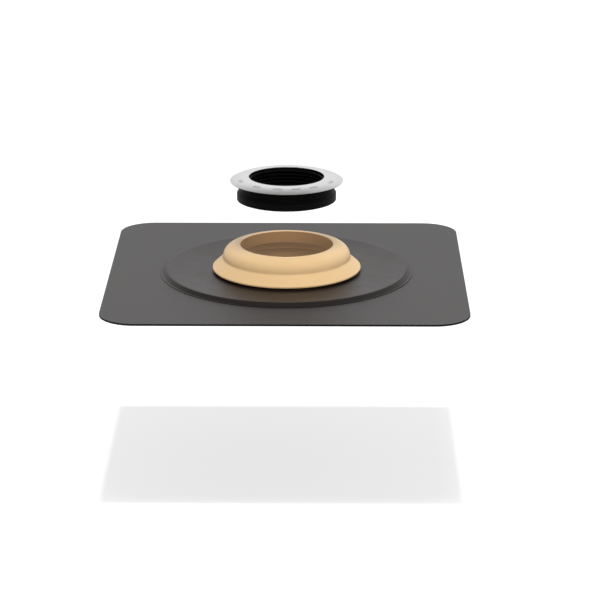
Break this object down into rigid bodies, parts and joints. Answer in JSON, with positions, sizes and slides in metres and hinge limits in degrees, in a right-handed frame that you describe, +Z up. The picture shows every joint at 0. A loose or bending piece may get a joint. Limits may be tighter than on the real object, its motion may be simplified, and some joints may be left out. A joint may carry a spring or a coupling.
{
  "type": "pipe flashing boot",
  "caption": "Square roofing membrane with a raised round disc and a flared moulded collar; a domed metal ring with a ribbed rubber lip seal is lifted off above the opening.",
  "frame": {"origin": "centre of the membrane's underside", "axes": "+Z up along the pipe, X and Y along the membrane's sides"},
  "size_m": [0.5, 0.5, 0.1405],
  "materials": {
    "membrane": "fine mineral grain, matt",
    "disc": "smooth, satin",
    "collar": "moulded, matt tan",
    "ring": "satin",
    "seal": "ribbed black rubber"
  },
  "bodies": {
    "root": {"membrane_sheet": "membrane", "base_disc": "disc", "sealing_collar": "collar", "trim_ring": "ring", "lip_seal": "seal"}
  },
  "joints": []
}
